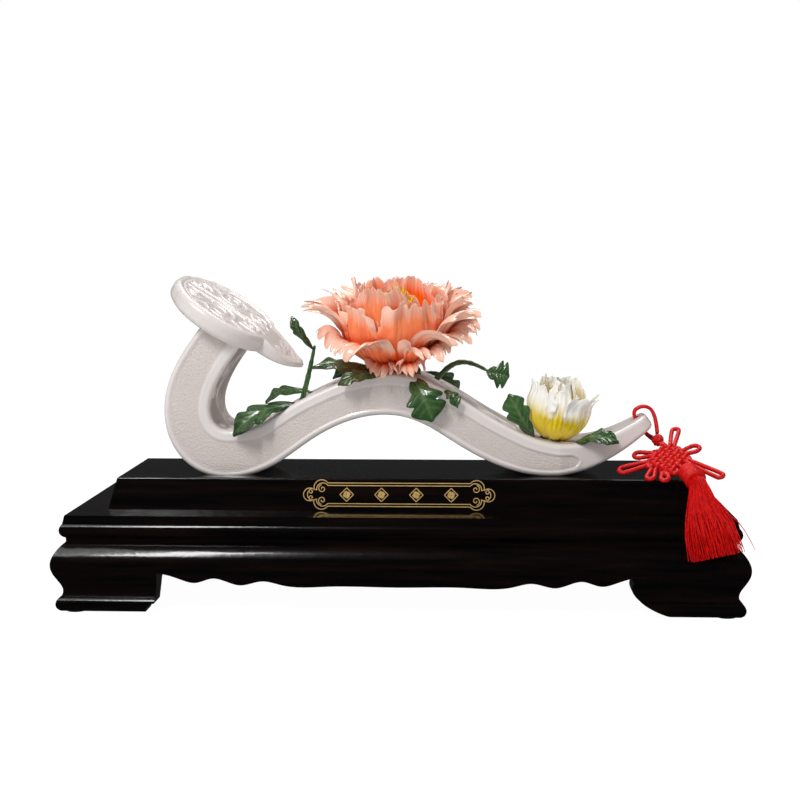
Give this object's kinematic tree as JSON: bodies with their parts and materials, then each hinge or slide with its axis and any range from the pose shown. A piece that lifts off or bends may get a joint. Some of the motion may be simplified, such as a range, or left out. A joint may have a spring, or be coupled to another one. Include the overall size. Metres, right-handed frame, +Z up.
{
  "type": "ruyi scepter on stand",
  "caption": "Ornamental ruyi scepter: an S-bent porcelain band with a cloud head, porcelain peony, bud and leaves, lying on a stepped black lacquered stand, with a red knotted tassel.",
  "frame": {"origin": "middle of the stand's footprint, on the floor", "axes": "+X along the stand from the scepter's head to its tail, +Y to the back, +Z up"},
  "size_m": [0.42, 0.1615, 0.205],
  "materials": {
    "black_lacquer": "polished black lacquer with faint brown bands",
    "inner_wood": "planed bare hardwood",
    "screw_steel": "plain wood screws",
    "felt": "black felt",
    "gilding": "gilt lines, slightly worn",
    "white_porcelain": "clear glaze over white porcelain with shallow relief",
    "peony_glaze": "coral glaze with fine streaks, pale torn rims",
    "bud_glaze": "cream glaze with lemon streaks at the roots",
    "stamen_glaze": "yellow glaze",
    "leaf_glaze": "glossy deep green glaze with pressed veins",
    "twig_glaze": "olive brown glaze",
    "calyx_glaze": "olive green glaze",
    "red_cord": "bright red satin cord and floss"
  },
  "bodies": {
    "stand": {"skirt_front": "black_lacquer", "skirt_back": "black_lacquer", "skirt_left": "black_lacquer", "skirt_right": "black_lacquer", "tier_rail_front": "black_lacquer", "tier_rail_back": "black_lacquer", "tier_rail_left": "black_lacquer", "tier_rail_right": "black_lacquer", "corner_block_front_left": "inner_wood", "corner_block_front_right": "inner_wood", "corner_block_back_left": "inner_wood", "corner_block_back_right": "inner_wood", "rail_tongues": "inner_wood", "block_screws": "screw_steel", "core_panel": "inner_wood", "plinth_board": "black_lacquer", "plinth_screws": "screw_steel", "foot_pads": "felt", "gilt_ornament": "gilding"},
    "scepter": {"bud_petals_inner": "bud_glaze", "bud_petals_outer": "bud_glaze", "bud_receptacle": "calyx_glaze", "hang_cord_back": "red_cord", "hang_cord_front": "red_cord", "leaf_back_left": "leaf_glaze", "leaf_back_right": "leaf_glaze", "leaf_bud_left": "leaf_glaze", "leaf_bud_right": "leaf_glaze", "leaf_front": "leaf_glaze", "leaf_front_small": "leaf_glaze", "leaf_left_high": "leaf_glaze", "leaf_left_low": "leaf_glaze", "leaf_left_upright": "leaf_glaze", "leaf_right": "leaf_glaze", "leaf_under_front": "leaf_glaze", "leaf_under_left": "leaf_glaze", "peony_petals_inner": "peony_glaze", "peony_petals_middle": "peony_glaze", "peony_petals_outer": "peony_glaze", "peony_receptacle": "calyx_glaze", "peony_stamens": "stamen_glaze", "scepter_head": "white_porcelain", "scepter_shaft": "white_porcelain", "twig_left": "twig_glaze", "twig_right": "twig_glaze"},
    "tassel": {"button_knot": "red_cord", "square_knot": "red_cord", "tassel_cap": "red_cord", "tassel_binding": "red_cord", "tassel_neck": "red_cord", "tassel_fringe": "red_cord", "knot_ear_left_high": "red_cord", "knot_ear_left_low": "red_cord", "knot_ear_right_high": "red_cord", "knot_ear_right_low": "red_cord", "knot_ear_small_left": "red_cord", "knot_ear_small_right": "red_cord", "knot_ear_up": "red_cord"}
  },
  "joints": [
    {"name": "scepter_lift", "type": "slide", "parent": "stand", "child": "scepter", "axis": [0, 0, 1], "range_m": [0, 0.12]},
    {"name": "tassel_swing", "type": "hinge", "parent": "scepter", "child": "tassel", "pos_m": [0.1624, -0.0087, 0.0993], "axis": [-1, 0, 0], "range_deg": [0, 80]}
  ]
}
